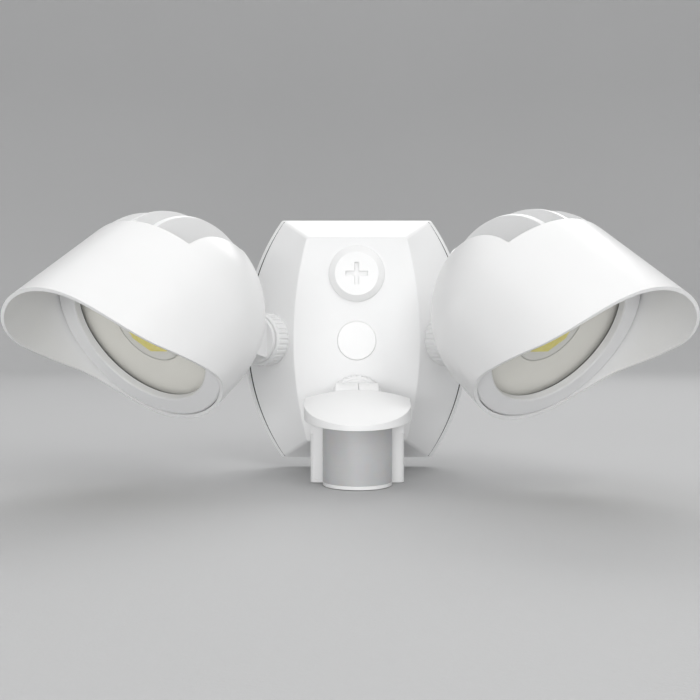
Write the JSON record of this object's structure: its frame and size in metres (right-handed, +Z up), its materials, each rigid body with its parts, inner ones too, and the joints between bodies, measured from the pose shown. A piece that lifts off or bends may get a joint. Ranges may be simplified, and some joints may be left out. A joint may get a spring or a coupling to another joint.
{
  "type": "motion-sensor floodlight",
  "caption": "White wall-mounted floodlight with hooded, domed lamp heads on knuckle arms either side of a bevelled cover plate, and a motion sensor under a visor.",
  "frame": {"origin": "in the wall plane, at the centre of the mounting strap's two slots", "axes": "+Y into the wall, +Z up, +X to the right seen from the front"},
  "size_m": [0.353, 0.1707, 0.155],
  "materials": {
    "white_casting": "white powder coat on die-cast aluminium, satin gloss",
    "white_plastic": "moulded white polycarbonate, satin gloss",
    "bezel_plastic": "light grey moulded plastic",
    "frosted_lens": "frosted tempered glass",
    "phosphor": "yellow phosphor over the chips",
    "board_metal": "white solder mask on aluminium",
    "reflector_white": "matt white moulding",
    "fresnel": "milky polyethylene",
    "rubber_black": "EPDM rubber",
    "foam_black": "closed-cell foam",
    "zinc_steel": "zinc-plated steel",
    "green_steel": "green passivated steel",
    "potting": "black potted case",
    "circuit_board": "glass-epoxy board",
    "dial_plastic": "dark grey nylon",
    "trimmer_blue": "blue thermoplastic",
    "relay_black": "black thermoplastic"
  },
  "bodies": {
    "base": {"cover_plate": "white_casting", "wall_gasket": "foam_black", "mounting_strap": "zinc_steel", "centre_screw": "zinc_steel", "screw_cap": "white_plastic", "ground_screw": "green_steel", "closure_plug": "white_plastic", "plug_gasket": "rubber_black", "left_hub_seal": "rubber_black", "right_hub_seal": "rubber_black", "sensor_hub_seal": "rubber_black"},
    "left_locknut": {"left_locknut": "white_casting"},
    "left_arm": {"left_arm": "white_casting", "left_hinge_bolt": "zinc_steel", "left_knuckle_washer": "zinc_steel"},
    "left_head": {"left_head_shell": "white_plastic", "left_heat_sink": "white_casting", "left_led_carrier": "board_metal", "left_carrier_screws": "zinc_steel", "left_led_board": "board_metal", "left_led_chip": "phosphor", "left_reflector": "reflector_white", "left_driver_module": "potting", "left_lens": "frosted_lens", "left_lens_gasket": "rubber_black", "left_bezel": "bezel_plastic"},
    "right_locknut": {"right_locknut": "white_casting"},
    "right_arm": {"right_arm": "white_casting", "right_hinge_bolt": "zinc_steel", "right_knuckle_washer": "zinc_steel"},
    "right_head": {"right_head_shell": "white_plastic", "right_heat_sink": "white_casting", "right_led_carrier": "board_metal", "right_carrier_screws": "zinc_steel", "right_led_board": "board_metal", "right_led_chip": "phosphor", "right_reflector": "reflector_white", "right_driver_module": "potting", "right_lens": "frosted_lens", "right_lens_gasket": "rubber_black", "right_bezel": "bezel_plastic"},
    "sensor_locknut": {"sensor_locknut": "white_casting"},
    "sensor_arm": {"sensor_arm": "white_casting", "sensor_hinge_bolt": "zinc_steel"},
    "sensor_head": {"sensor_hinge_nut": "zinc_steel", "sensor_housing": "white_plastic", "sensor_visor": "white_plastic", "pir_lens": "fresnel", "sensor_bottom_cover": "white_plastic", "cover_screws": "zinc_steel", "sensor_board": "circuit_board", "pir_detector": "zinc_steel", "trimmers": "trimmer_blue", "relay": "relay_black"},
    "time_dial": {"time_dial": "dial_plastic"},
    "light_dial": {"light_dial": "dial_plastic"}
  },
  "joints": [
    {"name": "left_locknut_turn", "type": "hinge", "parent": "base", "child": "left_locknut", "pos_m": [-0.05478, -0.011, 0], "axis": [-0.5621, -0.8271, 0], "range_deg": [0, 90]},
    {"name": "left_arm_swivel", "type": "hinge", "parent": "base", "child": "left_arm", "pos_m": [-0.05478, -0.011, 0], "axis": [-0.5621, -0.8271, 0], "range_deg": [-60, 60]},
    {"name": "left_head_tilt", "type": "hinge", "parent": "left_arm", "child": "left_head", "pos_m": [-0.06686, -0.02878, -0.001], "axis": [0.8271, -0.5621, 0], "range_deg": [-30, 45]},
    {"name": "right_locknut_turn", "type": "hinge", "parent": "base", "child": "right_locknut", "pos_m": [0.05478, -0.011, 0], "axis": [0.5621, -0.8271, 0], "range_deg": [0, 90]},
    {"name": "right_arm_swivel", "type": "hinge", "parent": "base", "child": "right_arm", "pos_m": [0.05478, -0.011, 0], "axis": [0.5621, -0.8271, 0], "range_deg": [-60, 60]},
    {"name": "right_head_tilt", "type": "hinge", "parent": "right_arm", "child": "right_head", "pos_m": [0.06686, -0.02878, -0.001], "axis": [0.8271, 0.5621, 0], "range_deg": [-30, 45]},
    {"name": "sensor_locknut_turn", "type": "hinge", "parent": "base", "child": "sensor_locknut", "pos_m": [0, -0.022, -0.038], "axis": [0, -1, 0], "range_deg": [0, 90]},
    {"name": "sensor_arm_swivel", "type": "hinge", "parent": "base", "child": "sensor_arm", "pos_m": [0, -0.022, -0.038], "axis": [0, -1, 0], "range_deg": [-35, 35]},
    {"name": "sensor_head_tilt", "type": "hinge", "parent": "sensor_arm", "child": "sensor_head", "pos_m": [0, -0.0477, -0.038], "axis": [1, 0, 0], "range_deg": [-30, 20]},
    {"name": "time_dial_turn", "type": "hinge", "parent": "sensor_head", "child": "time_dial", "pos_m": [-0.012, -0.0536, -0.078], "axis": [0, 0, -1], "range_deg": [-135, 135]},
    {"name": "light_dial_turn", "type": "hinge", "parent": "sensor_head", "child": "light_dial", "pos_m": [0.012, -0.0536, -0.078], "axis": [0, 0, -1], "range_deg": [-135, 135]}
  ]
}
